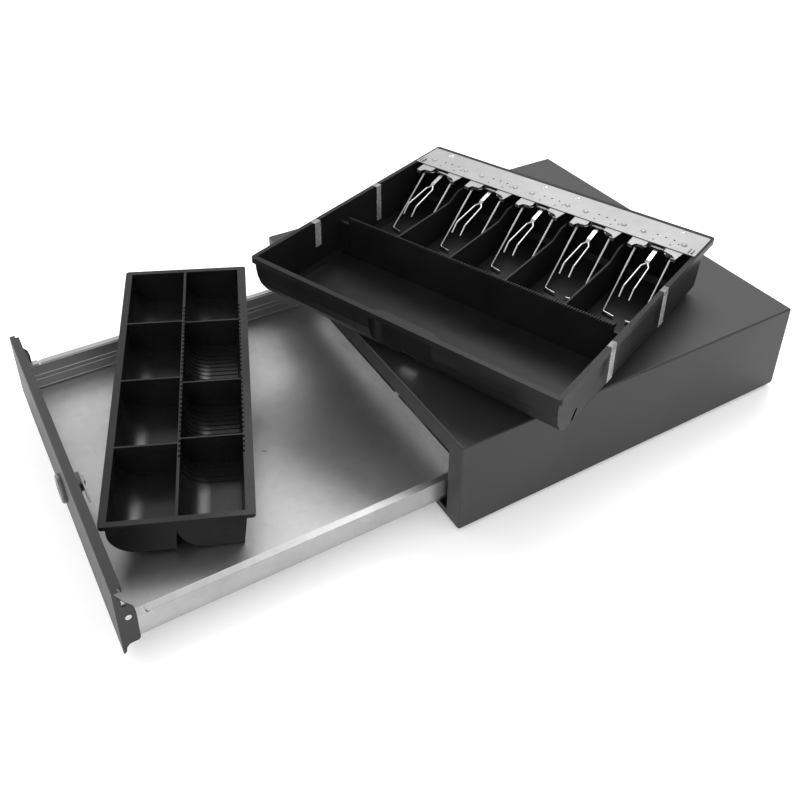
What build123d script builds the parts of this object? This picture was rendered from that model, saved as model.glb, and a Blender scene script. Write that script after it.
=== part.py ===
"""Steel cash drawer under a counter till: cabinet, open roller drawer, removable cash tray on
the cabinet's top, and a loose coin tray leaning in the drawer.

Millimetres. The working frame has x = 0 on the cabinet's centre plane, y = 0 on its front face
and z = 0 under its base plate. The drawer opens towards -Y. Every shape is moved by place() to
the row frame, whose origin is under the middle of the whole object.
"""

import os
from math import acos, cos, radians, sin, tan

from build123d import *

# ---------------------------------------------------------------- driving dimensions
SHIFT_X = -11.09
SHIFT_Y = -54.65
FOOT_H = 5.0

# Cabinet: a folded cover over a base plate.
CAB_W = 410.0
CAB_D = 415.0
CAB_H = 98.5
SHEET = 1.2
MOUTH_HALF = 184.7
MOUTH_TOP = 80.0
MOUTH_BOTTOM = 7.0
HEM = 6.0
HOLE_X = 150.0
HOLE_Y0 = 60.0
HOLE_Y1 = 340.0
HOLE_R = 2.75

# Drawer: a galvanised pan on roller slides, with a folded front panel. Shown open.
OPEN = 302.0
PANEL_HALF = 183.5
PANEL_Z0 = 7.7
PANEL_Z1 = 78.7
FLANGE_D = 8.6
PAN_HALF = 174.4
PAN_Z = 10.0
PAN_T = 1.0
PAN_TOP = 40.6
PAN_REAR = 30.0
RAIL_X = 181.75
RAIL_Z0 = 22.8
RAIL_Z1 = 41.6
RAIL_Y0 = -279.0
WEB_Y0 = -299.5
RAIL_Y1 = 28.0

# Roller slides.
FRONT_ROLLER_R = 6.0
FRONT_ROLLER_Y = 30.0
REAR_ROLLER_R = 8.0
REAR_ROLLER_Y = 16.0
REAR_ROLLER_Z = 32.2
AXLE_R = 2.5
RUNNING = 0.05

# Lock in the front panel.
LOCK_X = 12.0
LOCK_Z = 37.0
CORE_R = 6.0

# Latch behind the drawer, held off the striker plate (released).
LATCH_X = 81.0
LATCH_Y = 366.0
LATCH_Z = 60.0
LATCH_RAISED = 12.0
ARM = 22.0
SOLENOID_Z = 81.76

# Cash tray standing turned on the cabinet's top.
TILL_X = 19.97
TILL_Y = 151.86
TILL_YAW = 21.82
TILL_U = 180.3
TILL_V = 165.9
TILL_Z0 = CAB_H
TILL_RIM = 157.0
TILL_T = 2.2
BILL_PITCH = 68.8
DIVIDER_T = 2.0
MID_WALL_V = -33.0
BILL_BACK = 141.0
HINGE_V = 109.5
HINGE_Z = 152.3
FORK_V = 117.5
FORK_Z = 151.5
BAR_R = 1.25

# Coin tray leaning from the pan's floor over its left rail.
COIN_X = 89.0
COIN_Y = -290.1
COIN_YAW = 68.6
COIN_FLOOR = 10.95
COIN_W = 129.0
COIN_L = 343.0
COIN_H = 42.5
COIN_T = 1.8


# ---------------------------------------------------------------- helpers
def place(shape):
    """Moves a shape from the working frame to the row frame."""
    return Pos(SHIFT_X, SHIFT_Y, FOOT_H) * shape


def save(shape, name):
    export_step(place(shape), "parts/" + name + ".step")


def group(shapes):
    """Several separate solids kept as one node."""
    return Compound([solid for shape in shapes for solid in shape.solids()])


def block(x0, x1, y0, y1, z0, z1):
    centre = Pos((x0 + x1) / 2, (y0 + y1) / 2, (z0 + z1) / 2)
    return centre * Box(x1 - x0, y1 - y0, z1 - z0)


def slab(x0, x1, y0, y1, z0, z1, r):
    """Upright block with its four vertical edges rounded."""
    face = Pos((x0 + x1) / 2, (y0 + y1) / 2, z0) * RectangleRounded(x1 - x0, y1 - y0, r)
    return extrude(face, z1 - z0)


def rod(start, direction, r, length):
    """Cylinder from a point along a direction."""
    plane = Plane(origin=start, z_dir=direction)
    return plane * Cylinder(r, length, align=(Align.CENTER, Align.CENTER, Align.MIN))


def along_x(points, x0, x1):
    """Outline in (y, z) run from x0 to x1."""
    face = make_face(Polyline(*points, close=True))
    plane = Plane(origin=(x0, 0, 0), x_dir=(0, 1, 0), z_dir=(1, 0, 0))
    return extrude(plane * face, x1 - x0)


def along_y(points, y0, y1):
    """Outline in (x, z) run from y0 to y1."""
    face = make_face(Polyline(*points, close=True))
    plane = Plane(origin=(0, y1, 0), x_dir=(1, 0, 0), z_dir=(0, -1, 0))
    return extrude(plane * face, y1 - y0)


def along_z(points, z0, z1):
    """Outline in (x, y) run from z0 to z1."""
    face = make_face(Polyline(*points, close=True))
    return extrude(Pos(0, 0, z0) * face, z1 - z0)


def both_sides(make):
    """The same piece on the right and mirrored on the left."""
    right = make()
    return right, mirror(right, about=Plane.YZ)


def bent_wire(points, bend, r):
    """Round wire through the points, every corner bent to the same radius."""
    points = [Vector(*p) for p in points]
    start = points[0]
    edges = []
    for a, b, c in zip(points, points[1:], points[2:]):
        back = (a - b).normalized()
        ahead = (c - b).normalized()
        half = acos(back.dot(ahead)) / 2
        reach = bend / tan(half)
        middle = b + (back + ahead).normalized() * (bend / sin(half) - bend)
        edges.append(Line(start, b + back * reach))
        edges.append(ThreePointArc(b + back * reach, middle, b + ahead * reach))
        start = b + ahead * reach
    edges.append(Line(start, points[-1]))
    path = Wire(edges)
    section = Plane(origin=points[0], z_dir=points[1] - points[0]) * Circle(r)
    return sweep(section, path=path)


def ring_stack(start, direction, r, wire, count):
    """Close-wound coil drawn as touching rings along a direction."""
    turns = []
    for i in range(count):
        centre = Vector(*start) + Vector(*direction) * (wire * 1.7 * (i + 0.6))
        turns.append(Plane(origin=centre, z_dir=direction) * Torus(r, wire))
    return turns[0].fuse(*turns[1:])


# ---------------------------------------------------------------- cabinet
def cabinet_cover():
    half = CAB_W / 2
    outer = block(-half, half, 0, CAB_D, SHEET, CAB_H)
    front_edges = outer.edges().filter_by(Axis.Z).group_by(Axis.Y)[0]
    top_edges = outer.edges().group_by(Axis.Z)[-1].sort_by(Axis.Y)[:-1]
    outer = fillet(list(front_edges) + list(top_edges), 2.0)
    inside = block(-half + SHEET, half - SHEET, SHEET, CAB_D + 1, 0, CAB_H - SHEET)
    mouth = block(-MOUTH_HALF, MOUTH_HALF, -1, SHEET + 1, 0, MOUTH_TOP)
    cover = outer - inside - mouth
    for side in (-1, 1):
        x0, x1 = sorted((side * MOUTH_HALF, side * (MOUTH_HALF + SHEET)))
        cover += block(x0, x1, 0.3, HEM, SHEET + 1, MOUTH_TOP + SHEET)
    return cover + block(-MOUTH_HALF, MOUTH_HALF, 0.3, HEM, MOUTH_TOP, MOUTH_TOP + SHEET)


def cabinet_base():
    half = CAB_W / 2
    base = slab(-half, half, 0, CAB_D, 0, SHEET, 2)
    base += block(-half + SHEET, half - SHEET, CAB_D - SHEET, CAB_D, 0, CAB_H - SHEET)
    base += block(-MOUTH_HALF + 0.6, MOUTH_HALF - 0.6, 0, SHEET, 0, MOUTH_BOTTOM)
    for side in (-1, 1):
        x0, x1 = sorted((side * (half - SHEET), side * (half - 2 * SHEET)))
        base += block(x0, x1, 10, CAB_D - 1, 0, 16)
    for x in (-HOLE_X, HOLE_X):
        for y in (HOLE_Y0, HOLE_Y1):
            base -= Pos(x, y, SHEET / 2) * Cylinder(HOLE_R, 4)
    base -= block(-67, -53, CAB_D - 3, CAB_D + 1, 24, 37)
    for i in range(6):
        base -= block(-150 + i * 12, -144 + i * 12, CAB_D - 3, CAB_D + 1, 52, 78)
    return base


def feet():
    pads = []
    for x in (-178, 178):
        for y in (26, CAB_D - 26):
            pad = Pos(x, y, -FOOT_H / 2) * Cone(8, 9.5, FOOT_H)
            pads.append(pad - Pos(x, y, -FOOT_H) * Cylinder(3, 3))
    return group(pads)


def cover_screws():
    screws = []
    for x in (-185, 185):
        for z in (30, 84):
            screws.append(rod((x, CAB_D, z), (0, 1, 0), 3.4, 0.8))
    return group(screws)


def cabinet_rail():
    """Right-hand cabinet member: a channel for the rear roller, with the front roller's axle."""
    rail = block(184.9, 196.7, HEM + 2, 345, 22.6, 23.8)
    rail += block(184.9, 196.7, HEM + 2, 345, 40.7, 41.9)
    rail += block(195.5, 196.7, HEM + 2, 345, 22.6, 41.9)
    rail += block(195.5, 196.7, 18, 44, 7, 23)
    for y in (40, 180, 310):
        rail += block(196.0, CAB_W / 2 - SHEET, y, y + 24, 26, 38)
    for y in (52, 192, 322):
        rail -= Pos(190, y, 42) * Cylinder(2.5, 6)
    rail += block(194.0, 196.7, 343.8, 345, 22.6, 41.9)
    axle_z = RAIL_Z0 - FRONT_ROLLER_R
    rail += rod((196, FRONT_ROLLER_Y, axle_z), (-1, 0, 0), AXLE_R, 20.9)
    rail += rod((175.8, FRONT_ROLLER_Y, axle_z), (-1, 0, 0), 4, 0.7)
    return rail + rod((182.2, FRONT_ROLLER_Y, axle_z), (1, 0, 0), 4, 13.6)


def front_roller():
    z = RAIL_Z0 - FRONT_ROLLER_R - 0.02
    wheel = rod((176.1, FRONT_ROLLER_Y, z), (1, 0, 0), FRONT_ROLLER_R - 0.02, 5.8)
    return wheel - rod((170, FRONT_ROLLER_Y, z + 0.02), (1, 0, 0), AXLE_R + RUNNING, 20)


def rear_roller():
    wheel = rod((185.6, REAR_ROLLER_Y, REAR_ROLLER_Z), (1, 0, 0), REAR_ROLLER_R, 7.4)
    groove = rod((187.4, REAR_ROLLER_Y, REAR_ROLLER_Z), (1, 0, 0), REAR_ROLLER_R + 1, 3.8)
    groove -= rod((180, REAR_ROLLER_Y, REAR_ROLLER_Z), (1, 0, 0), REAR_ROLLER_R - 0.7, 20)
    bore = rod((180, REAR_ROLLER_Y, REAR_ROLLER_Z), (1, 0, 0), AXLE_R + RUNNING, 20)
    return wheel - groove - bore


def cable_socket():
    y0 = CAB_D - SHEET - 12
    socket = block(-67, -53, y0, CAB_D + 0.8, 24, 37)
    socket += block(-69, -51, y0, CAB_D - SHEET, 22, 39)
    socket -= block(-65, -55, CAB_D - 9, CAB_D + 2, 26, 33)
    return socket - block(-62, -58, CAB_D - 9, CAB_D + 2, 32, 35.5)


def latch_bracket():
    bracket = block(68, 94, 352, 380, SHEET, 2.4)
    for x in (70.0, 90.0):
        ear = along_x([(354, 1.2), (378, 1.2), (374, 66), (358, 66)], x, x + 1.5)
        bracket += ear - rod((60, LATCH_Y, LATCH_Z), (1, 0, 0), 3, 40)
    return bracket + block(68, 94, 352, 356, SHEET, 6)


def latch_pin():
    return rod((69.4, LATCH_Y, LATCH_Z), (1, 0, 0), 3, 22.7)


def latch_lever():
    """Hook lever with an upright arm, drawn engaged, then turned to its released rest angle."""
    outline = [
        (360.5, 66), (340, 61), (327, 57.5), (326.5, 46), (331.5, 46), (331.5, 51.5),
        (340, 53.0), (358, 54), (370, 54), (372, 60), (371.5, 87), (360.5, 87),
    ]
    lever = along_x(outline, LATCH_X - 1.5, LATCH_X + 1.5)
    lever += rod((LATCH_X - 4, LATCH_Y, LATCH_Z), (1, 0, 0), 6.5, 8)
    lever -= rod((60, LATCH_Y, LATCH_Z), (1, 0, 0), 3 + RUNNING, 40)
    slot_z = LATCH_Z + ARM
    lever -= block(60, 100, LATCH_Y - 1.9, LATCH_Y + 1.9, slot_z - 3.4, slot_z + 3.4)
    turn = Pos(0, LATCH_Y, LATCH_Z) * Rot(-LATCH_RAISED, 0, 0) * Pos(0, -LATCH_Y, -LATCH_Z)
    return turn * lever


def latch_spring():
    return ring_stack((85.1, LATCH_Y, LATCH_Z), (1, 0, 0), 3.5, 0.5, 5)


def plunger_y():
    """Where the plunger's cross pin stands with the lever released."""
    return LATCH_Y + ARM * sin(radians(LATCH_RAISED))


def solenoid_plunger():
    y = plunger_y()
    z = SOLENOID_Z
    plunger = rod((LATCH_X, y + 8, z), (0, 1, 0), 4, 24)
    plunger += block(LATCH_X - 4.5, LATCH_X + 4.5, y - 3.5, y + 9, z - 3, z + 3)
    plunger -= block(LATCH_X - 2.1, LATCH_X + 2.1, y - 4, y + 7.6, z - 4, z + 4)
    return plunger + rod((LATCH_X - 4.5, y, z), (1, 0, 0), 1.3, 9)


def solenoid_coil():
    coil = rod((LATCH_X, 384, SOLENOID_Z), (0, 1, 0), 10, 22)
    return coil - rod((LATCH_X, 380, SOLENOID_Z), (0, 1, 0), 4.3, 40)


def solenoid_frame():
    z0 = SOLENOID_Z - 11
    z1 = SOLENOID_Z + 11
    wall = CAB_D - SHEET
    frame = block(LATCH_X - 12, LATCH_X + 12, 382.4, 384, z0, z1)
    frame += block(LATCH_X - 12, LATCH_X + 12, 406, wall, z0, z1)
    for side in (-1, 1):
        x0, x1 = sorted((LATCH_X + side * 10.4, LATCH_X + side * 12))
        frame += block(x0, x1, 382.4, wall, z0, z1)
    return frame - rod((LATCH_X, 380, SOLENOID_Z), (0, 1, 0), 4.3, 26)


def ejector_spring():
    """Leaf spring on the rear wall, drawn as pressed in by the closed drawer."""
    base = block(-98, -70, CAB_D - SHEET - 1, CAB_D - SHEET, 14, 44)
    strip = along_z([
        (-96, 413.2), (-64.8, 340.2), (-58, 337), (-52, 339), (-52, 340), (-58, 338.1),
        (-63.9, 341), (-94.9, 413.2),
    ], 22, 36)
    return base + strip


def micro_switch():
    body = slab(-14, 6, 396, 406, SHEET, 28, 1)
    body += block(-14, 6, 398, CAB_D - SHEET, SHEET, 6)
    return body + block(-13, 5, 388, 398, 27, 28)


# ---------------------------------------------------------------- drawer
def drawer_pan():
    y0 = -OPEN + SHEET
    pan = block(-PAN_HALF, PAN_HALF, y0, PAN_REAR, PAN_Z, PAN_Z + PAN_T)
    pan += block(-PAN_HALF, PAN_HALF, PAN_REAR - PAN_T, PAN_REAR, PAN_Z, PAN_TOP)
    pan += block(-PAN_HALF, PAN_HALF, PAN_REAR - 9, PAN_REAR, PAN_TOP, PAN_TOP + PAN_T)
    pan += block(-PAN_HALF, PAN_HALF, y0, y0 + PAN_T, PAN_Z, 22)
    for side in (-1, 1):
        x0, x1 = sorted((side * PAN_HALF, side * (PAN_HALF - PAN_T)))
        pan += block(x0, x1, y0, PAN_REAR, PAN_Z, PAN_TOP)
        x0, x1 = sorted((side * (PAN_HALF - PAN_T), side * (RAIL_X - PAN_T)))
        pan += block(x0, x1, y0, RAIL_Y1, PAN_TOP - PAN_T, PAN_TOP)
        for z in (28.0, 22.5, 12.5):
            bead = rod((side * (PAN_HALF - PAN_T), y0 + 6, z), (0, 1, 0), 0.9, PAN_REAR - y0 - 12)
            pan += bead
    pan += Pos(32.6, -115.6, PAN_Z + PAN_T) * Cylinder(2.6, 1.2)
    pan -= block(52, 60, PAN_REAR - 12, PAN_REAR + 1, PAN_TOP - 0.5, PAN_TOP + 2)
    return pan


def drawer_rail():
    """Right-hand drawer member: a channel welded to the pan, with the rear roller's axle."""
    rail = block(RAIL_X - PAN_T, RAIL_X, RAIL_Y0, RAIL_Y1, RAIL_Z0, RAIL_Z1)
    rail += block(PAN_HALF + 0.4, RAIL_X, RAIL_Y0, RAIL_Y1, PAN_TOP, RAIL_Z1)
    chamfers = rail.edges().filter_by(Axis.Y).group_by(Axis.Z)[-1]
    rail = chamfer(chamfers, 0.4)
    corner = along_z([(170, -280), (190, -280), (190, -270), (178, -280)], PAN_TOP + 0.01, 45)
    rail -= corner
    rail += block(RAIL_X - PAN_T, RAIL_X, WEB_Y0, RAIL_Y1, RAIL_Z0, PAN_TOP)
    rail += block(PAN_HALF, RAIL_X, WEB_Y0, RAIL_Y1, RAIL_Z0, RAIL_Z0 + PAN_T)
    rail += rod((RAIL_X - 0.5, REAR_ROLLER_Y, REAR_ROLLER_Z), (1, 0, 0), AXLE_R, 12.4)
    rail += rod((RAIL_X - 0.5, REAR_ROLLER_Y, REAR_ROLLER_Z), (1, 0, 0), 4.2, 3.7)
    return rail + rod((193.6, REAR_ROLLER_Y, REAR_ROLLER_Z), (1, 0, 0), 3.6, 0.8)


def front_panel():
    y0 = -OPEN
    panel = block(-PANEL_HALF, PANEL_HALF, y0, y0 + SHEET, PANEL_Z0, PANEL_Z1)
    panel += block(-PANEL_HALF, PANEL_HALF, y0, y0 + FLANGE_D, PANEL_Z1 - SHEET, PANEL_Z1)
    lip = PANEL_HALF - 4
    panel += block(-lip, lip, y0 + FLANGE_D - SHEET, y0 + FLANGE_D, 71.5, PANEL_Z1)
    tab = [
        (-302, 78.7), (-300.9, 77.4), (-298.3, 72), (-292, 61.4), (-287.8, 55.6),
        (-286.7, 49.7), (-286.7, 40.5), (-286.9, 18.9), (-288.75, 16.6), (-295.9, 16.5),
        (-298.6, 13.6), (-299.6, 8.7), (-302, 7.7),
    ]
    for side in (-1, 1):
        x0, x1 = sorted((side * PANEL_HALF, side * (PANEL_HALF - SHEET)))
        panel += along_x(tab, x0, x1)
        notch = (side * (PANEL_HALF - 2), y0 + FLANGE_D - 1.2, 60)
        panel -= rod(notch, (0, 0, 1), 2.6, 30)
        panel -= rod((side * (PANEL_HALF + 1), -293.1, 46.8), (-side, 0, 0), 1.8, 6)
    front = panel.edges().filter_by(Axis.X).group_by(Axis.Y)[0].sort_by(Axis.Z)
    panel = fillet([front[-1]], 1.1)
    return panel - rod((LOCK_X, y0 - 5, LOCK_Z), (0, 1, 0), 9.5, 20)


def panel_bracket():
    """Right-hand bracket tying the pan's flange to the front panel and its side tab."""
    x1 = PANEL_HALF - SHEET
    bracket = along_x([
        (-300.8, PAN_TOP), (-288.4, PAN_TOP), (-288.4, 54), (-292.6, 60.5), (-296.8, 68.4),
        (-300.8, 68.4),
    ], x1 - SHEET, x1)
    bracket += block(168, x1, -300.8, -299.6, 50.7, 68.4)
    bracket += block(PAN_HALF + 0.4, x1, -300.8, -281, PAN_TOP, PAN_TOP + SHEET)
    return bracket - rod((x1 + 3, -293.1, 46.8), (-1, 0, 0), 1.8, 8)


def panel_screws():
    screws = []
    for side in (-1, 1):
        shank = rod((side * (PANEL_HALF + 0.1), -293.1, 46.8), (-side, 0, 0), 1.7, 6)
        head = rod((side * PANEL_HALF, -293.1, 46.8), (side, 0, 0), 2.6, 0.7)
        rounded = head.edges().filter_by(GeomType.CIRCLE).sort_by(Axis.X)
        head = fillet([rounded[-1 if side > 0 else 0]], 0.5)
        slot = side * (PANEL_HALF + 0.7)
        head -= block(slot - 0.35, slot + 0.35, -293.4, -292.8, 45.1, 48.5)
        head -= block(slot - 0.35, slot + 0.35, -294.8, -291.4, 46.5, 47.1)
        screws.append(shank + head)
    return group(screws)


def striker_plate():
    plate = block(62, 100, PAN_REAR, PAN_REAR + SHEET, 22, 50)
    plate = chamfer(plate.edges().filter_by(Axis.Y).group_by(Axis.Z)[-1], 3)
    plate -= block(70, 88, PAN_REAR - 1, PAN_REAR + 3, 43.6, 47)
    return plate - rod((95, PAN_REAR - 1, 45.5), (0, 1, 0), 1.2, 5)


def pan_rivets():
    heads = []
    for x in (68, 94):
        heads.append(rod((x, PAN_REAR + SHEET, 30), (0, 1, 0), 2.6, 0.9))
    for x in (-140, -60, 70, 140):
        heads.append(rod((x, -OPEN + SHEET + PAN_T, 17), (0, 1, 0), 2.4, 0.9))
    return group(heads)


def lock_body():
    y0 = -OPEN
    body = rod((LOCK_X, y0 - 4.5, LOCK_Z), (0, 1, 0), 14, 4.5)
    body = fillet(body.edges().filter_by(GeomType.CIRCLE).group_by(Axis.Y)[0], 2.2)
    body += rod((LOCK_X, y0 - 1, LOCK_Z), (0, 1, 0), 9.4, 16.6)
    return body - rod((LOCK_X, y0 - 10, LOCK_Z), (0, 1, 0), CORE_R + RUNNING, 40)


def lock_nut():
    nut = rod((LOCK_X, -OPEN + SHEET, LOCK_Z), (0, 1, 0), 12, 4)
    return nut - rod((LOCK_X, -OPEN, LOCK_Z), (0, 1, 0), 9.4, 20)


def lock_core():
    y0 = -OPEN - 4.3
    core = rod((LOCK_X, y0, LOCK_Z), (0, 1, 0), CORE_R, 20.0)
    core += rod((LOCK_X, y0 + 19.4, LOCK_Z), (0, 1, 0), 3, 4.2)
    return core - block(LOCK_X - 1, LOCK_X + 1, y0 - 1, y0 + 7, LOCK_Z - 4, LOCK_Z + 4)


def lock_cam():
    y0 = -OPEN + 15.8
    cam = along_y([
        (LOCK_X - 6, LOCK_Z - 5), (LOCK_X + 26, LOCK_Z - 4), (LOCK_X + 30, LOCK_Z),
        (LOCK_X + 26, LOCK_Z + 4), (LOCK_X - 6, LOCK_Z + 5),
    ], y0, y0 + 1.6)
    cam += rod((LOCK_X, y0 + 1, LOCK_Z), (0, 1, 0), 5, 1.8)
    return cam - rod((LOCK_X, y0 - 3, LOCK_Z), (0, 1, 0), 3, 10)


# ---------------------------------------------------------------- cash tray
TILL = Plane(
    origin=(TILL_X, TILL_Y, 0),
    x_dir=(cos(radians(TILL_YAW)), sin(radians(TILL_YAW)), 0),
    z_dir=(0, 0, 1),
)


def clip_u(i):
    """Middle of bill compartment i, counted 0 to 4 from the left."""
    return BILL_PITCH * (i - 2)


def till_hull(inset):
    """Outside form of the moulded tray, or its inside when inset by the wall."""
    z0 = TILL_Z0 + inset
    side = [
        (-162.5 + inset, TILL_RIM), (-162 + inset, 142), (-161 + inset, 133),
        (-157.5 + inset, 122), (-151 + inset, 112), (-141 + inset, 104.2),
        (-127 + inset / 2, z0 + 0.6), (-121, z0),
    ]
    if inset:
        side += [(127, z0), (130.5, 107.5), (138.5, 110), (BILL_BACK, 142), (BILL_BACK, TILL_RIM)]
    else:
        side += [(129, z0), (133, 105.5), (141.5, 107.5), (143.8, 142), (143.8, TILL_RIM)]
    width = [
        (-177.6 + inset, TILL_RIM), (-175.2 + inset, TILL_Z0 + 8), (-172 + inset, z0),
        (172 - inset, z0), (175.2 - inset, TILL_Z0 + 8), (177.6 - inset, TILL_RIM),
    ]
    return along_x(side, -190, 190) & along_y(width, -190, 190)


def finger_recess(grow):
    """Hollow in the tray's front for two fingers."""
    return slab(-28 - grow, 46 + grow, -175, -150 + grow, 104 - grow, 148 + grow, 9 + grow)


def till_tray():
    body = till_hull(0)
    rim = slab(-TILL_U, TILL_U, -TILL_V, TILL_V, TILL_RIM - 2.4, TILL_RIM, 4)
    lip = slab(-TILL_U, TILL_U, -TILL_V, TILL_V, TILL_RIM - 6.3, TILL_RIM, 4)
    lip -= slab(-TILL_U + 1.7, TILL_U - 1.7, -TILL_V + 1.7, TILL_V - 1.7, 140, TILL_RIM + 1, 3)
    body = body + rim
    body -= finger_recess(0)
    wells = till_hull(TILL_T)
    wells -= block(-190, 190, MID_WALL_V, MID_WALL_V + 2.2, 90, 150)
    wells -= block(-190, -160, MID_WALL_V - 1, MID_WALL_V + 3, 90, 141.9)
    wells -= finger_recess(TILL_T)
    for i in range(5):
        for du in (-18, 0, 18):
            rib = block(clip_u(i) + du - 1, clip_u(i) + du + 1, -30, 34, 99, 103.2)
            wells -= rib
    body = body - wells + lip
    body -= block(-182, -160.5, MID_WALL_V - 1, MID_WALL_V + 3, 142, 150.5) & till_hull(TILL_T)
    body -= block(162.5, 182, MID_WALL_V - 1, MID_WALL_V + 3, 142, 150.5) & till_hull(TILL_T)
    count = 104
    step = 322.0 / count
    teeth = [
        block(-160 + i * step, -160 + (i + 0.5) * step, MID_WALL_V - 1, MID_WALL_V + 3, 148.4, 151)
        for i in range(count)
    ]
    body -= teeth[0].fuse(*teeth[1:])
    slot = Plane(origin=(170, -126, 112), x_dir=(0, 0.5, 0.87), z_dir=(1, 0, 0))
    body -= extrude(slot * SlotOverall(14, 5), 12)
    body -= block(2, 20, -154, -144, 106.5, 115)
    return TILL * body


def bill_divider(u):
    outline = [
        (MID_WALL_V + 2.3, 100.7), (126.4, 100.7), (129.9, 107.8), (137.9, 110.4),
        (BILL_BACK - 0.6, 142), (BILL_BACK - 0.6, 147.5), (96.7, 147.5), (79.5, 139.5),
        (MID_WALL_V + 2.3, 139.5),
    ]
    plate = along_x(outline, u - DIVIDER_T / 2, u + DIVIDER_T / 2)
    return TILL * plate


def hold_down_plate():
    plate = slab(-177, 178, 114.5, 158.6, TILL_RIM, TILL_RIM + 1, 1.5)
    for side in (-1, 1):
        curl = Plane(origin=(side * 171.5, 122, TILL_RIM + 2.4), z_dir=(0, 1, 0)) * Cylinder(2.4, 9)
        curl -= Plane(origin=(side * 171.5, 122, TILL_RIM + 2.4), z_dir=(0, 1, 0)) * Cylinder(1.5, 12)
        curl -= block(side * 171.5 - 3, side * 171.5 + 3, 110, 130, TILL_RIM + 2.6, TILL_RIM + 6)
        plate += curl
    for i in range(5):
        for du, v, r in (
            (-8, 132.5, 1.1), (1.5, 132.5, 1.1), (11, 132.5, 1.1), (-8, 121, 1.0),
            (11.5, 121, 1.0), (18, 126.8, 1.0),
        ):
            plate -= Pos(clip_u(i) + du, v, TILL_RIM) * Cylinder(r, 6)
    return TILL * plate


def plate_domes():
    domes = []
    for i in range(5):
        for du in (-23, 23):
            ball = Pos(clip_u(i) + du, 129, TILL_RIM - 1.6) * Sphere(4.4)
            domes.append(ball & block(-190, 190, 100, 150, TILL_RIM + 1, TILL_RIM + 4))
    return TILL * group(domes)


def plate_screws():
    screws = []
    for u in (-17.6, 24.6, -150, 150):
        ball = Pos(u, 151.6, TILL_RIM - 2.2) * Sphere(5.0)
        head = ball & block(-190, 190, 140, 160, TILL_RIM + 1, TILL_RIM + 4)
        head -= block(u - 2.4, u + 2.4, 151.2, 152.0, TILL_RIM + 2.2, TILL_RIM + 5)
        screws.append(head - block(u - 0.4, u + 0.4, 149.2, 154.0, TILL_RIM + 2.2, TILL_RIM + 5))
    return TILL * group(screws)


def clip_bracket(i):
    """Sheet bracket under the hold-down plate: two ears and knuckles on the clips' hinge line."""
    u = clip_u(i)
    top = TILL_RIM
    plate = along_z([
        (-28, 118), (-26.4, 99.5), (-21.3, 97.2), (-18.6, 103.2), (-10.4, 104.2),
        (-9.4, 107.5), (-10.1, 116), (10.1, 116), (10.3, 107.3), (20.8, 104.4),
        (26.6, 98.2), (28.7, 118), (28, 133), (-28, 133),
    ], top - 1, top)
    for side in (-1, 1):
        x0, x1 = sorted((side * 21.5, side * 26.5))
        plate += block(x0, x1, 98.6, 99.6, top - 4, top - 0.4)
        x0, x1 = sorted((side * 13.2, side * 17.2))
        plate += block(x0, x1, HINGE_V - 2.6, HINGE_V + 2.6, HINGE_Z - 0.4, top - 0.5)
        plate += rod((x0, HINGE_V, HINGE_Z), (1, 0, 0), 2.6, 4)
        x0, x1 = sorted((side * 7.4, side * 9.0))
        plate += block(x0, x1, FORK_V - 2.3, FORK_V + 2.3, FORK_Z - 1.5, top - 0.8)
    plate -= rod((-18, HINGE_V, HINGE_Z), (1, 0, 0), BAR_R + RUNNING, 36)
    plate += rod((-9, FORK_V, FORK_Z), (1, 0, 0), BAR_R, 18)
    return TILL * (Pos(u, 0, 0) * plate)


def wire_frame(i):
    """Hinged wire hold-down: inturned feet, two long legs, and a bar bent back under the plate."""
    u = clip_u(i)
    left = [
        (-6.7, 41.3, 102.9), (-19.7, 43.5, 103.1), (-19.7, 104, 150.1),
        (-19.7, HINGE_V, HINGE_Z), (-10.8, HINGE_V, HINGE_Z), (-10.8, 126, 150),
    ]
    right = [(-x, v, z) for x, v, z in reversed(left)]
    return TILL * (Pos(u, 0, 0) * bent_wire(left + right, 2.2, BAR_R))


def bill_fork(i):
    """Flat sprung fork between the wire's legs, hung on its own pin under the plate."""
    u = clip_u(i)
    lever = along_x([
        (FORK_V - 1, FORK_Z - 1.3), (96, 145.6), (93, 143.7), (93, 145.3), (96, 147.2),
        (FORK_V - 1, FORK_Z + 0.7),
    ], -2.3, 2.3)
    hub = rod((-4.6, FORK_V, FORK_Z), (1, 0, 0), 2.5, 9.2)
    wires = [
        bent_wire([
            (0, 94.5, 144.6), (side * 4.2, 88.5, 142.6), (side * 5.6, 54.5, 135.5),
            (side * 5.6, 45.5, 126),
        ], 2.0, 1.0)
        for side in (-1, 1)
    ]
    fork = hub + lever + wires[0] + wires[1]
    fork -= rod((-10, FORK_V, FORK_Z), (1, 0, 0), BAR_R + RUNNING, 20)
    return TILL * (Pos(u, 0, 0) * fork)


def torsion_springs():
    coils = []
    for i in range(5):
        for side in (-1, 1):
            start = clip_u(i) + side * 4.9
            coil = ring_stack((start, FORK_V, FORK_Z), (side, 0, 0), 2.0, 0.4, 3)
            arm = rod((start + side * 1.1, FORK_V, FORK_Z + 2), (0, 0, 1), 0.35, 2.5)
            coils.append(coil + arm)
    return TILL * group(coils)


def transit_tape():
    strips = []
    top = TILL_RIM
    for v, hang in ((-75, 117), (36, 115)):
        strip = block(175.6, TILL_U + 0.3, v, v + 10, top, top + 0.3)
        strips.append(strip + block(TILL_U, TILL_U + 0.3, v, v + 10, hang, top + 0.3))
    for v, width, hang in ((-75, 9, 127), (32, 8, 112)):
        strip = block(-TILL_U, -172.6, v, v + width, top, top + 0.3)
        strips.append(strip + block(-172.9, -172.6, v, v + width, hang, top + 0.3))
    return TILL * group(strips)


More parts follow.
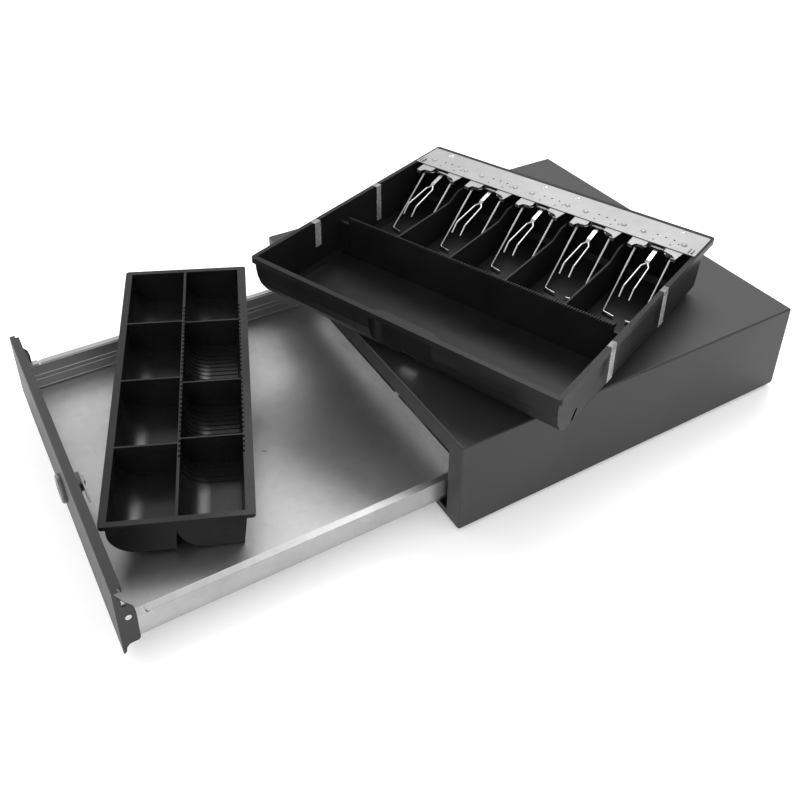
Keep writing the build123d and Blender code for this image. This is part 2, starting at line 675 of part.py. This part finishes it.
# ---------------------------------------------------------------- coin tray
def coin_plane():
    yaw = radians(COIN_YAW)
    right = COIN_X + COIN_W * cos(yaw)
    slope = (RAIL_Z1 + 0.3 - COIN_FLOOR) / (right + PAN_HALF + 0.4)
    x_dir = Vector(cos(yaw), sin(yaw), -slope * cos(yaw)).normalized()
    normal = Vector(slope, 0, 1).normalized()
    base = (COIN_X, COIN_Y, COIN_FLOOR + slope * (right - COIN_X))
    return Plane(origin=base, x_dir=x_dir, z_dir=normal)


ROW_LEFT = (6.2, 65.4)
ROW_RIGHT = ((59.4, 62.9), (118.6, 122.3))
SCOOP_R = 25.0
ROW_V0 = 2.0
ROW_V1 = COIN_L - 2.0
RIB_V = (85.7, 171.5, 256.0)
DIVIDER_V = (94.5, 167.8, 258.2)
COMB_PITCH = 5.9


def trough(row, grow, v0, v1):
    """Hollow of one row, grown outwards: a round left side, flat floor and leaning right side."""
    left = ROW_LEFT[row] - grow
    bottom, top = ROW_RIGHT[row]
    centre_u = ROW_LEFT[row] + SCOOP_R
    centre_n = COIN_T + SCOOP_R
    r = SCOOP_R + grow
    floor = COIN_T - grow
    middle = (centre_u - r * cos(radians(45)), centre_n - r * sin(radians(45)))
    roof = COIN_H + 1
    edges = [
        Line((left, roof), (left, centre_n)),
        ThreePointArc((left, centre_n), middle, (centre_u, floor)),
        Line((centre_u, floor), (bottom + grow, floor)),
        Line((bottom + grow, floor), (top + grow, roof)),
        Line((top + grow, roof), (left, roof)),
    ]
    plane = Plane(origin=(0, v1, 0), x_dir=(1, 0, 0), z_dir=(0, -1, 0))
    return extrude(plane * make_face(edges), v1 - v0)


def coin_rim(inset, n0, n1):
    """Flat-sided frame outline around both rows."""
    return slab(
        -0.8 + inset, 131.2 - inset, -1.6 + inset, COIN_L + 1.6 - inset, n0, n1, 3.2 - inset,
    )


def coin_combs():
    """Slots for the dividers in both walls and the floor of the right-hand row."""
    slots = [trough(1, 0.9, v - 1.0, v + 1.0) for v in DIVIDER_V]
    for i in range(36):
        v = 70 + i * COMB_PITCH
        if min(abs(v - d) for d in DIVIDER_V) < 3.1:
            continue
        slots.append(trough(1, 0.8, v - 1.1, v + 1.1))
        for u0, u1 in ((63.7, 66), (121, 123.9)):
            slots.append(block(u0, u1, v - 1.1, v + 1.1, 32, COIN_H + 1))
    return slots


def coin_tray():
    outer = trough(0, COIN_T, ROW_V0, ROW_V1) + trough(1, COIN_T, ROW_V0, ROW_V1)
    outer &= block(-10, 150, -10, 360, -1, COIN_H - 2.5)
    skirt = coin_rim(0, COIN_H - 4.5, COIN_H) - coin_rim(1.3, COIN_H - 6, COIN_H - 2.0)
    tray = outer + coin_rim(0, COIN_H - 2.5, COIN_H) + skirt
    ends = (ROW_V0 + COIN_T / 2,) + RIB_V + (ROW_V1 - COIN_T / 2,)
    for v0, v1 in zip(ends, ends[1:]):
        tray -= trough(0, 0, v0 + COIN_T / 2, v1 - COIN_T / 2)
    tray -= trough(1, 0, ROW_V0 + COIN_T, ROW_V1 - COIN_T)
    for slot in coin_combs():
        tray -= slot
    return coin_plane() * tray


def coin_divider(v):
    """Lift-out divider of the right-hand row, with three pips low on its front face."""
    plate = trough(1, 0.4, v - 0.8, v + 0.8)
    plate &= block(0, 150, v - 5, v + 5, -1, COIN_H - 4)
    for u in (101, 107.7, 114.8):
        plate += rod((u, v - 1.7, 3.6), (0, 1, 0), 1.1, 1.2)
    return coin_plane() * plate


# ---------------------------------------------------------------- build
def main():
    os.makedirs("parts", exist_ok=True)
    save(cabinet_cover(), "cabinet_cover")
    save(cabinet_base(), "cabinet_base")
    save(feet(), "feet")
    save(cover_screws(), "cover_screws")
    save(cable_socket(), "cable_socket")
    save(latch_bracket(), "latch_bracket")
    save(latch_pin(), "latch_pin")
    save(latch_spring(), "latch_spring")
    save(latch_lever(), "latch_lever")
    save(solenoid_plunger(), "solenoid_plunger")
    save(solenoid_coil(), "solenoid_coil")
    save(solenoid_frame(), "solenoid_frame")
    save(ejector_spring(), "ejector_spring")
    save(micro_switch(), "micro_switch")
    for make, name in (
        (cabinet_rail, "cabinet_rail"), (front_roller, "front_roller"),
        (rear_roller, "rear_roller"), (drawer_rail, "drawer_rail"),
        (panel_bracket, "panel_bracket"),
    ):
        right, left = both_sides(make)
        save(right, name + "_right")
        save(left, name + "_left")
    save(drawer_pan(), "drawer_pan")
    save(front_panel(), "front_panel")
    save(panel_screws(), "panel_screws")
    save(striker_plate(), "striker_plate")
    save(pan_rivets(), "pan_rivets")
    save(lock_body(), "lock_body")
    save(lock_nut(), "lock_nut")
    save(lock_core(), "lock_core")
    save(lock_cam(), "lock_cam")
    save(till_tray(), "till_tray")
    save(hold_down_plate(), "hold_down_plate")
    save(plate_domes(), "plate_domes")
    save(plate_screws(), "plate_screws")
    save(torsion_springs(), "torsion_springs")
    save(transit_tape(), "transit_tape")
    for i in range(4):
        save(bill_divider(BILL_PITCH * (i - 1.5)), "bill_divider_" + str(i + 1))
    save(group([clip_bracket(i) for i in range(5)]), "clip_brackets")
    for i in range(5):
        save(wire_frame(i), "wire_frame_" + str(i + 1))
        save(bill_fork(i), "bill_fork_" + str(i + 1))
    save(coin_tray(), "coin_tray")
    for i, v in enumerate(DIVIDER_V):
        save(coin_divider(v), "coin_divider_" + str(i + 1))


main()
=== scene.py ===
"""Cash drawer: materials, light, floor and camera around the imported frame."""

from math import cos, radians, sin

import bpy
from mathutils import Matrix, Vector

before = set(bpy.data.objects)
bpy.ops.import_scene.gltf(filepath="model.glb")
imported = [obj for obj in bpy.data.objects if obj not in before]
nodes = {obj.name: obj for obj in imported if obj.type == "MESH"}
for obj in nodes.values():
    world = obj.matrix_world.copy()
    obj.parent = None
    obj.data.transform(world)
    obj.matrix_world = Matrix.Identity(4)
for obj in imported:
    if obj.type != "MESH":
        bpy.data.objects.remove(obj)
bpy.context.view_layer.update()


# ---------------------------------------------------------------- material helpers
def srgb(level):
    """A grey or colour given as seen on screen, 0 to 255, as linear RGBA."""
    channels = level if isinstance(level, tuple) else (level, level, level)
    linear = [((c / 255 + 0.055) / 1.055) ** 2.4 if c > 10 else c / 255 / 12.92 for c in channels]
    return (*linear, 1.0)


def new_material(name):
    material = bpy.data.materials.new(name)
    material.use_nodes = True
    tree = material.node_tree
    shader = tree.nodes["Principled BSDF"]
    coords = tree.nodes.new("ShaderNodeTexCoord")
    return material, tree, shader, coords.outputs["Object"]


def noise(tree, coords, scale, detail=3.0, roughness=0.55, stretch=None):
    """Noise in the row frame; stretch slows it along some axes, for a drawn grain."""
    if stretch:
        mapping = tree.nodes.new("ShaderNodeMapping")
        mapping.inputs["Scale"].default_value = stretch
        tree.links.new(coords, mapping.inputs["Vector"])
        coords = mapping.outputs["Vector"]
    node = tree.nodes.new("ShaderNodeTexNoise")
    node.inputs["Scale"].default_value = scale
    node.inputs["Detail"].default_value = detail
    node.inputs["Roughness"].default_value = roughness
    tree.links.new(coords, node.inputs["Vector"])
    return node.outputs["Fac"]


def cells(tree, coords, scale):
    node = tree.nodes.new("ShaderNodeTexVoronoi")
    node.inputs["Scale"].default_value = scale
    tree.links.new(coords, node.inputs["Vector"])
    return node


def ramp(tree, value, low, high, start=0.3, end=0.7):
    """Two-stop colour or grey ramp driven by a value."""
    node = tree.nodes.new("ShaderNodeValToRGB")
    stops = node.color_ramp.elements
    stops[0].position, stops[1].position = start, end
    stops[0].color = low if isinstance(low, tuple) else (low, low, low, 1)
    stops[1].color = high if isinstance(high, tuple) else (high, high, high, 1)
    tree.links.new(value, node.inputs["Fac"])
    return node.outputs["Color"]


def add(tree, a, b, share):
    """a + share * b"""
    node = tree.nodes.new("ShaderNodeMath")
    node.operation = "MULTIPLY_ADD"
    node.inputs[1].default_value = share
    tree.links.new(b, node.inputs[0])
    tree.links.new(a, node.inputs[2])
    return node.outputs["Value"]


def bump(tree, shader, height, strength, distance):
    node = tree.nodes.new("ShaderNodeBump")
    node.inputs["Strength"].default_value = strength
    node.inputs["Distance"].default_value = distance
    tree.links.new(height, node.inputs["Height"])
    tree.links.new(node.outputs["Normal"], shader.inputs["Normal"])


def powder_coat(name, low, high, roughness):
    """Fine-textured satin powder coat with a faint orange peel."""
    material, tree, shader, at = new_material(name)
    grain = noise(tree, at, 1500, 2.0, 0.6)
    peel = noise(tree, at, 420, 2.0, 0.5)
    patch = noise(tree, at, 9, 4.0, 0.6)
    tree.links.new(ramp(tree, add(tree, patch, grain, 0.35), srgb(low), srgb(high), 0.45, 0.85),
                   shader.inputs["Base Color"])
    tree.links.new(ramp(tree, grain, roughness - 0.05, roughness + 0.07), shader.inputs["Roughness"])
    shader.inputs["Specular IOR Level"].default_value = 0.4
    bump(tree, shader, add(tree, peel, grain, 0.5), 0.22, 0.0003)
    return material


def galvanised(name, low, high, roughness, spangle=95.0):
    """Rolled zinc-coated sheet: soft spangle, fine rolling grain and a few rub marks."""
    material, tree, shader, at = new_material(name)
    flake = cells(tree, at, spangle)
    grain = noise(tree, at, 60, 4.0, 0.65, (1.0, 22.0, 1.0))
    cloud = noise(tree, at, 7, 5.0, 0.6)
    fine = noise(tree, at, 900, 2.0, 0.5)
    mix = add(tree, cloud, flake.outputs["Color"], 0.16)
    mix = add(tree, mix, grain, 0.2)
    tree.links.new(ramp(tree, mix, srgb(low), srgb(high), 0.4, 0.95), shader.inputs["Base Color"])
    rough = add(tree, fine, grain, 0.6)
    tree.links.new(ramp(tree, rough, roughness - 0.06, roughness + 0.08, 0.4, 1.1),
                   shader.inputs["Roughness"])
    shader.inputs["Metallic"].default_value = 1.0
    bump(tree, shader, add(tree, fine, flake.outputs["Distance"], 0.6), 0.08, 0.0002)
    return material


def plated(name, tone, roughness):
    """Bright plating with slight drawing marks and dull specks."""
    material, tree, shader, at = new_material(name)
    marks = noise(tree, at, 500, 3.0, 0.6, (1.0, 1.0, 6.0))
    tree.links.new(ramp(tree, marks, srgb(tone - 14), srgb(tone)), shader.inputs["Base Color"])
    tree.links.new(ramp(tree, marks, roughness, roughness + 0.1), shader.inputs["Roughness"])
    shader.inputs["Metallic"].default_value = 1.0
    bump(tree, shader, marks, 0.05, 0.0001)
    return material


def moulded(name, low, high, roughness, grain_strength=0.12, shine=0.5):
    """Moulded plastic: near-even colour, a light spark-eroded grain, soft sink marks."""
    material, tree, shader, at = new_material(name)
    grain = noise(tree, at, 2200, 2.0, 0.6)
    sink = noise(tree, at, 22, 3.0, 0.5)
    tree.links.new(ramp(tree, add(tree, sink, grain, 0.25), srgb(low), srgb(high), 0.4, 0.8),
                   shader.inputs["Base Color"])
    tree.links.new(ramp(tree, add(tree, sink, grain, 0.5), roughness - 0.04, roughness + 0.07, 0.4, 1.0),
                   shader.inputs["Roughness"])
    shader.inputs["Specular IOR Level"].default_value = shine
    bump(tree, shader, add(tree, grain, sink, 3.0), grain_strength, 0.0002)
    return material


def clear_film(name):
    """Thin clear adhesive film, milky grey all over, with small wrinkles."""
    material, tree, shader, at = new_material(name)
    crease = noise(tree, at, 160, 3.0, 0.6, (1.0, 1.0, 0.3))
    tree.links.new(ramp(tree, crease, srgb(165), srgb(205)), shader.inputs["Base Color"])
    tree.links.new(ramp(tree, crease, 0.12, 0.3), shader.inputs["Roughness"])
    shader.inputs["Alpha"].default_value = 0.42
    bump(tree, shader, crease, 0.4, 0.0006)
    return material


def winding(name):
    """Wound and taped coil: bands round the axis."""
    material, tree, shader, at = new_material(name)
    bands = tree.nodes.new("ShaderNodeTexWave")
    bands.wave_type = "BANDS"
    bands.bands_direction = "Z"
    bands.inputs["Scale"].default_value = 260
    bands.inputs["Distortion"].default_value = 0.6
    tree.links.new(at, bands.inputs["Vector"])
    tree.links.new(ramp(tree, bands.outputs["Fac"], srgb((96, 50, 24)), srgb((168, 98, 52))),
                   shader.inputs["Base Color"])
    shader.inputs["Roughness"].default_value = 0.45
    bump(tree, shader, bands.outputs["Fac"], 0.4, 0.0004)
    return material


COAT = powder_coat("powder_coat", 33, 44, 0.44)
PANEL_COAT = powder_coat("panel_coat", 27, 38, 0.46)
ZINC = galvanised("galvanised_pan", 164, 186, 0.40, 120.0)
ZINC_BRIGHT = galvanised("galvanised_bright", 150, 180, 0.34)
ZINC_DULL = galvanised("galvanised_dull", 150, 186, 0.42)
ZINC_PLATE = galvanised("galvanised_plate", 140, 160, 0.42)
WIRE = plated("plated_wire", 184, 0.22)
CHROME = plated("plated_lock", 160, 0.16)
BEZEL = plated("plated_bezel", 104, 0.26)
SCREW = plated("plated_screw", 205, 0.28)
TILL_ABS = moulded("black_tray", 20, 28, 0.34, 0.12, 0.16)
COIN_ABS = moulded("black_coin_tray", 18, 26, 0.24, 0.1, 0.36)
NYLON = moulded("nylon_roller", 178, 196, 0.5)
SOCKET = moulded("grey_socket", 120, 138, 0.55)
RUBBER = moulded("rubber_foot", 24, 34, 0.75, 0.3)
FILM = clear_film("clear_film")
COIL = winding("coil_winding")

BY_NODE = {
    "cabinet_cover": COAT, "cabinet_base": COAT, "front_panel": PANEL_COAT,
    "drawer_pan": ZINC, "drawer_rail": ZINC_BRIGHT, "cabinet_rail": ZINC_DULL,
    "panel_bracket": ZINC_BRIGHT, "striker_plate": ZINC_BRIGHT, "latch_bracket": ZINC_DULL,
    "solenoid_frame": ZINC_DULL, "latch_lever": ZINC_BRIGHT, "ejector_spring": ZINC_BRIGHT,
    "hold_down_plate": ZINC_PLATE, "clip_brackets": ZINC_PLATE, "pan_rivets": ZINC_BRIGHT,
    "plate_domes": ZINC_PLATE, "wire_frame": WIRE, "bill_fork": WIRE, "torsion_springs": WIRE,
    "latch_spring": WIRE, "latch_pin": WIRE, "solenoid_plunger": CHROME,
    "lock_body": BEZEL, "lock_nut": CHROME, "lock_core": CHROME, "lock_cam": CHROME,
    "plate_screws": SCREW, "panel_screws": SCREW, "cover_screws": SCREW,
    "till_tray": TILL_ABS, "bill_divider": TILL_ABS, "coin_tray": COIN_ABS,
    "coin_divider": COIN_ABS, "front_roller": NYLON, "rear_roller": NYLON,
    "cable_socket": SOCKET, "micro_switch": SOCKET, "solenoid_coil": COIL, "feet": RUBBER,
    "transit_tape": FILM,
}


def dress(obj, material):
    obj.data.materials.clear()
    obj.data.materials.append(material)


for name, obj in nodes.items():
    stem = max((key for key in BY_NODE if name.startswith(key)), key=len)
    dress(obj, BY_NODE[stem])


# ---------------------------------------------------------------- stage, light and camera
FLOOR_SIZE = 14.0
FLOOR_GLOW = 0.22
WORLD_STRENGTH = 1.0
# Name, place, aim, width, height (metres) and power (watts).
LIGHTS = (
    ("key", (-0.9, 1.3, 2.2), (0, 0, 0.05), 1.6, 1.2, 34),
    ("left_soft", (-1.9, -1.1, 1.3), (0, -0.1, 0.05), 1.4, 1.0, 14),
    ("front_fill", (1.6, -1.9, 1.7), (0, -0.1, 0.05), 1.6, 1.4, 8),
)


def plane(name, size, location, material):
    mesh = bpy.data.meshes.new(name)
    h = size / 2
    mesh.from_pydata([(-h, -h, 0), (h, -h, 0), (h, h, 0), (-h, h, 0)], [], [(0, 1, 2, 3)])
    obj = bpy.data.objects.new(name, mesh)
    obj.location = location
    bpy.context.scene.collection.objects.link(obj)
    obj.data.materials.append(material)
    return obj


def area_light(name, location, target, size, size_y, power):
    data = bpy.data.lights.new(name, "AREA")
    data.shape = "RECTANGLE"
    data.size, data.size_y = size, size_y
    data.energy = power
    obj = bpy.data.objects.new(name, data)
    obj.location = location
    obj.rotation_mode = "QUATERNION"
    obj.rotation_quaternion = (Vector(target) - Vector(location)).to_track_quat("-Z", "Y")
    bpy.context.scene.collection.objects.link(obj)
    return obj


floor_material, tree, shader, at = new_material("pale_floor")
tree.links.new(ramp(tree, noise(tree, at, 3, 3.0), srgb(246), srgb(250)), shader.inputs["Base Color"])
shader.inputs["Roughness"].default_value = 0.9
shader.inputs["Specular IOR Level"].default_value = 0.1
shader.inputs["Emission Color"].default_value = (1, 1, 1, 1)
shader.inputs["Emission Strength"].default_value = FLOOR_GLOW
plane("floor", FLOOR_SIZE, (0, 0, 0), floor_material)

world = bpy.data.worlds.new("studio")
world.use_nodes = True
world.node_tree.nodes["Background"].inputs["Color"].default_value = (1, 1, 1, 1)
world.node_tree.nodes["Background"].inputs["Strength"].default_value = WORLD_STRENGTH
bpy.context.scene.world = world

for light in LIGHTS:
    area_light(*light)

# Where the camera stood, in the row frame, with its turn, tilt, roll and lens.
CAMERA_AT = Vector((0.68158, -0.41267, 0.67938))
AZIMUTH, ELEVATION, ROLL = radians(59.38), radians(31.39), radians(0.35)
LENS, SHIFT_X, SHIFT_Y = 42.59, 0.0065, -0.1976

back = Vector((sin(AZIMUTH) * cos(ELEVATION), -cos(AZIMUTH) * cos(ELEVATION), sin(ELEVATION)))
side = Vector((cos(AZIMUTH), sin(AZIMUTH), 0))
upward = back.cross(side)
right = cos(ROLL) * side + sin(ROLL) * upward
up = -sin(ROLL) * side + cos(ROLL) * upward
camera = bpy.data.objects.new("camera", bpy.data.cameras.new("camera"))
camera.matrix_world = Matrix((
    (right.x, up.x, back.x, CAMERA_AT.x),
    (right.y, up.y, back.y, CAMERA_AT.y),
    (right.z, up.z, back.z, CAMERA_AT.z),
    (0, 0, 0, 1),
))
camera.data.sensor_width = 36.0
camera.data.lens = LENS
camera.data.shift_x = SHIFT_X
camera.data.shift_y = SHIFT_Y
camera.data.clip_start = 0.01
camera.data.clip_end = 60
camera.data.dof.use_dof = False
bpy.context.scene.collection.objects.link(camera)
bpy.context.scene.camera = camera
bpy.context.scene.view_settings.view_transform = "Standard"
